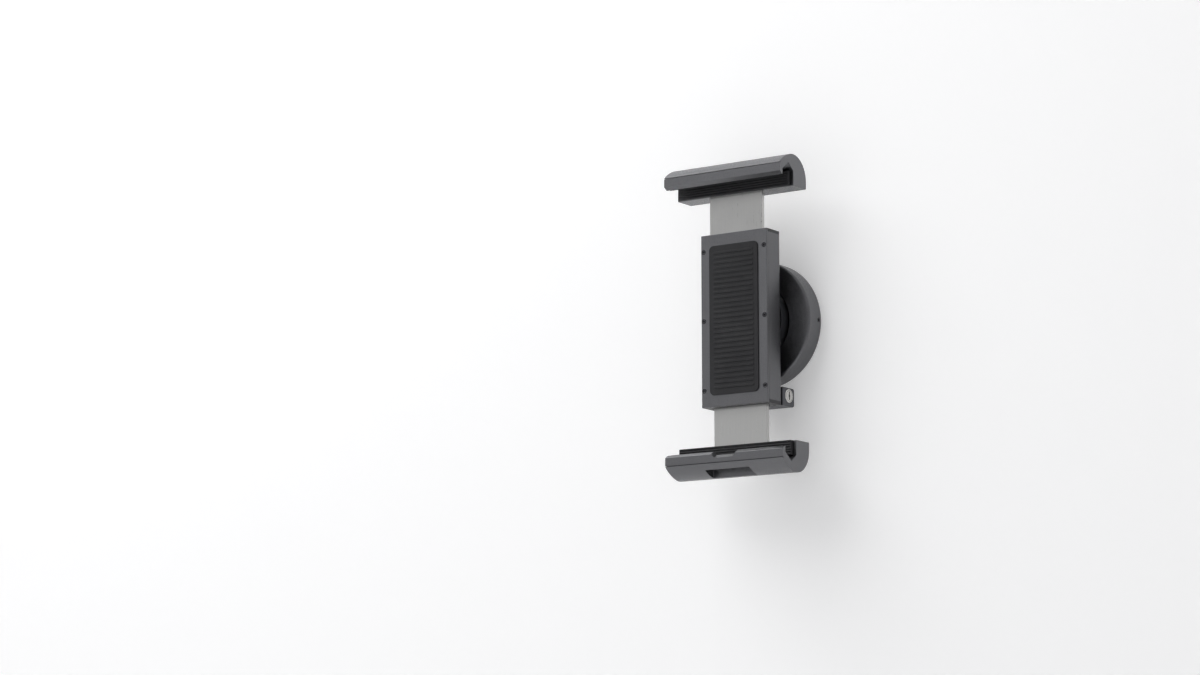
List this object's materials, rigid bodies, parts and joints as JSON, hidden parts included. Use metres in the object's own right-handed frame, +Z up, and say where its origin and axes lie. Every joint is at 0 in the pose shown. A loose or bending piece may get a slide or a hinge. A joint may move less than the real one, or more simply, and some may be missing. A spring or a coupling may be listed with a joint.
{
  "type": "tablet wall mount",
  "caption": "Wall mount that clamps a tablet between two linked jaws, turns it on the wall and locks with a key.",
  "frame": {"origin": "the middle of the wall flange's back face, on the swivel's axis and level with the middle between the jaws", "axes": "+Z up along the column, +Y into the wall, the front looks along -Y, +X to the right as one looks at the mount"},
  "size_m": [0.0814, 0.0501, 0.1888],
  "materials": {
    "anodised_grey": "satin anodised, dark cool grey",
    "anodised_dark": "satin anodised, darker grey",
    "steel": "brushed",
    "steel_black": "blackened",
    "chrome": "nickel plated",
    "brass": "machined",
    "rubber_black": "matte, fine grain",
    "plastic_black": "fine moulded texture",
    "plastic_natural": "natural acetal",
    "fibre": "pressed fibre"
  },
  "bodies": {
    "wall_base": {"wall_flange": "anodised_dark", "base_rosette": "anodised_grey", "rosette_screws": "steel_black", "friction_washer": "fibre", "disc_spring": "steel", "retaining_washer": "steel", "pivot_bolt": "steel"},
    "carrier": {"bearing_bush": "plastic_natural", "turntable": "anodised_dark", "turntable_screws": "steel", "back_shell": "anodised_grey", "front_cover": "anodised_grey", "cover_screws": "steel_black", "back_pad": "rubber_black", "end_cap_upper": "plastic_black", "end_cap_lower": "plastic_black", "end_cap_screws": "steel_black", "guide_rails": "plastic_natural", "bearing_bridge": "steel", "bridge_screws": "steel", "pinion_shaft": "steel", "brake_spring": "steel", "brake_shoe": "plastic_natural", "lock_housing": "anodised_dark", "lock_screws": "steel"},
    "upper_jaw": {"upper_jaw_clamp": "anodised_grey", "upper_tongue": "steel", "upper_jaw_screws": "steel_black", "upper_back_pad": "rubber_black", "upper_lip_pad": "rubber_black"},
    "lower_jaw": {"lower_jaw_clamp": "anodised_grey", "lower_tongue": "steel", "lower_jaw_screws": "steel_black", "lower_back_pad": "rubber_black", "lower_lip_pad": "rubber_black"},
    "pinion": {"drive_pinion": "brass"},
    "lock_cylinder": {"lock_barrel": "chrome", "lock_cam": "brass", "cam_screw": "steel"},
    "lock_bolt": {"lock_bolt": "steel"}
  },
  "joints": [
    {"name": "swivel", "type": "hinge", "parent": "wall_base", "child": "carrier", "pos_m": [0, 0, 0], "axis": [0, 1, 0], "continuous": true},
    {"name": "upper_jaw_slide", "type": "slide", "parent": "carrier", "child": "upper_jaw", "axis": [0, 0, 1], "range_m": [-0.022, 0.024]},
    {"name": "lower_jaw_slide", "type": "slide", "parent": "carrier", "child": "lower_jaw", "axis": [0, 0, -1], "range_m": [-0.022, 0.024]},
    {"name": "pinion_spin", "type": "hinge", "parent": "carrier", "child": "pinion", "pos_m": [0, -0.0311, 0], "axis": [0, 1, 0], "range_deg": [-158, 172]},
    {"name": "key_turn", "type": "hinge", "parent": "carrier", "child": "lock_cylinder", "pos_m": [0.013, -0.0132, -0.0456], "axis": [1, 0, 0], "range_deg": [0, 90]},
    {"name": "lock_bolt_slide", "type": "slide", "parent": "carrier", "child": "lock_bolt", "axis": [0, -1, 0], "range_m": [0, 0.0022]}
  ],
  "couplings": [
    {"joint": "lower_jaw_slide", "follows": "upper_jaw_slide", "ratio": 1},
    {"joint": "pinion_spin", "follows": "upper_jaw_slide", "rad_per_m": 125},
    {"joint": "key_turn", "follows": "lock_bolt_slide", "rad_per_m": 714.29}
  ]
}
